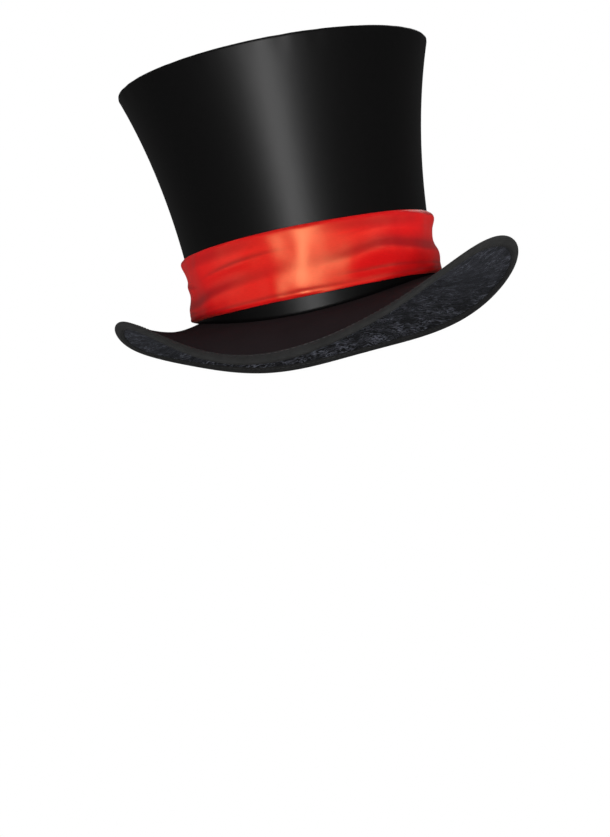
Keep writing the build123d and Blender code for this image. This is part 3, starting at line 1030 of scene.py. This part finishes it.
def makeJoinTape():
    across = np.linspace(-1, 1, 24)[:, None]
    turn = back + across * inside["tapeHalf"] / crownOut(0, bandFace)
    share = np.linspace(0, 1, 30)[None, :]
    height = bandFoot(turn) + inside["trimFoot"] + (inside["bandHeight"] - 5.5) * share
    rib = 0.05 * np.cos(share * 60 * math.pi)
    face = place(turn, crownOut(height, bandFace) - 0.2 - rib, height)
    piece = gridPiece("sweatbandJoin", face, roundU=False, roundV=False, size=(0.012, 0.027))
    piece = thicken(piece, inside["tapeCloth"])
    give(piece, tapeMaterial, "grosgrain", "sweatband_join_tape")


makeSweatband()
makeLining()
makeLabel()
makeJoinTape()
print("inside made")


# Stitches: one Geometry Nodes tree sets a thread bead every stitch along a path of edges
def stitchTree():
    tree = bpy.data.node_groups.new("stitchRow", "GeometryNodeTree")
    face = tree.interface
    face.new_socket("Path", in_out="INPUT", socket_type="NodeSocketGeometry")
    for label, value in (("Stitch", 0.0032), ("Gap", 0.0008), ("Thread", 0.00035), ("Wander", 0.06)):
        face.new_socket(label, in_out="INPUT", socket_type="NodeSocketFloat").default_value = value
    face.new_socket("Seed", in_out="INPUT", socket_type="NodeSocketInt").default_value = 3
    face.new_socket("Finish", in_out="INPUT", socket_type="NodeSocketMaterial")
    face.new_socket("Stitches", in_out="OUTPUT", socket_type="NodeSocketGeometry")
    given, out = tree.nodes.new("NodeGroupInput"), tree.nodes.new("NodeGroupOutput")
    link = tree.links.new
    path = addNode(tree, "GeometryNodeMeshToCurve")
    link(given.outputs["Path"], path.inputs["Mesh"])
    pitch = mathNode(tree, "ADD", given.outputs["Stitch"], given.outputs["Gap"])
    beads = addNode(tree, "GeometryNodeResampleCurve", mode="LENGTH")
    link(path.outputs["Curve"], beads.inputs["Curve"])
    link(pitch, beads.inputs["Length"])
    along = addNode(tree, "GeometryNodeInputTangent")
    stray = addNode(tree, "FunctionNodeRandomValue", data_type="FLOAT_VECTOR")
    stray.inputs[0].default_value = (-1, -1, -1)
    stray.inputs[1].default_value = (1, 1, 1)
    link(given.outputs["Seed"], stray.inputs["Seed"])
    scaled = addNode(tree, "ShaderNodeVectorMath", operation="SCALE")
    link(stray.outputs[0], scaled.inputs[0])
    link(given.outputs["Wander"], scaled.inputs["Scale"])
    lean = vectorMath(tree, "ADD", along.outputs[0], scaled.outputs[0])
    turnTo = addNode(tree, "FunctionNodeAlignRotationToVector", axis="Z")
    link(lean, turnTo.inputs["Vector"])
    bead = setInputs(addNode(tree, "GeometryNodeMeshUVSphere"), {"Segments": 6, "Rings": 6, "Radius": 1.0})
    size = addNode(tree, "ShaderNodeCombineXYZ")
    halfLength = mathNode(tree, "MULTIPLY", given.outputs["Stitch"], 0.5)
    link(given.outputs["Thread"], size.inputs["X"])
    link(given.outputs["Thread"], size.inputs["Y"])
    link(halfLength, size.inputs["Z"])
    sew = addNode(tree, "GeometryNodeInstanceOnPoints")
    link(beads.outputs["Curve"], sew.inputs["Points"])
    link(bead.outputs["Mesh"], sew.inputs["Instance"])
    link(turnTo.outputs["Rotation"], sew.inputs["Rotation"])
    link(size.outputs[0], sew.inputs["Scale"])
    real = addNode(tree, "GeometryNodeRealizeInstances")
    finish = addNode(tree, "GeometryNodeSetMaterial")
    link(sew.outputs[0], real.inputs[0])
    link(real.outputs[0], finish.inputs["Geometry"])
    link(given.outputs["Finish"], finish.inputs["Material"])
    link(finish.outputs[0], out.inputs["Stitches"])
    return tree


stitches = stitchTree()


def sewRow(name, points, values):
    # points is one closed row along the seam; the result is a plain mesh of separate stitches
    count = len(points)
    edges = [(k, (k + 1) % count) for k in range(count)]
    mesh = bpy.data.meshes.new(name)
    mesh.from_pydata(points.tolist(), edges, [])
    piece = bpy.data.objects.new(name, mesh)
    scene.collection.objects.link(piece)
    sewing = piece.modifiers.new("sewing", "NODES")
    sewing.node_group = stitches
    for item in stitches.interface.items_tree:
        if item.in_out == "INPUT" and item.name in values:
            sewing[item.identifier] = values[item.name]
    return settle(piece)


def joinPieces(name, pieces):
    # joins meshes that are already in place into one object
    vertices, faces = [], []
    for piece in pieces:
        start = len(vertices)
        vertices += [tuple(v.co) for v in piece.data.vertices]
        faces += [[k + start for k in p.vertices] for p in piece.data.polygons]
        bpy.data.objects.remove(piece)
    return makePiece(name, vertices, faces)


def sewEverything():
    turn = turns(brim["columns"])
    thread = {"Stitch": 0.0034, "Gap": 0.0009, "Thread": 0.00034, "Finish": threadMaterial}
    half = brim["bindingHalf"]
    seam = edgeReach(turn) - brim["stitchInset"]
    above, below = brimPoint(turn, seam, half - 0.1), brimPoint(turn, seam, 0.1 - half)
    rows = [sewRow("rowAbove", above, {**thread, "Seed": 5}),
            sewRow("rowBelow", below, {**thread, "Seed": 6})]
    give(joinPieces("bindingStitches", rows), threadMaterial, "black_thread", "binding_thread")
    height = bandFoot(turn) + inside["bandSeam"]
    seam = place(turn, crownOut(height, bandFace - 0.22), height)
    band = sewRow("bandStitches", seam, {**thread, "Seed": 7})
    give(band, threadMaterial, "black_thread", "sweatband_thread")


sewEverything()
print("stitches sewn")

# What stays of the CAD model is inside the hat and gets its own finishes
hiddenFinishes = {
    "crown_side_padding": foamMaterial,
    "crown_tip_padding": foamMaterial,
    "crown_side_stiffener": buckramMaterial,
    "crown_tip_stiffener": buckramMaterial,
    "brim_stiffener": buckramMaterial,
    "crown_seam_tape": tapeMaterial,
    "headline_tape": tapeMaterial,
    "crown_top_wire": steelMaterial,
    "brim_edge_wire": steelMaterial,
    "brim_wire_joiner": steelMaterial,
}
for node, material in hiddenFinishes.items():
    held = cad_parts[node]
    if not held.material_slots:
        held.data.materials.append(material)
    for slot in held.material_slots:
        slot.material = material
print("inner layers finished")
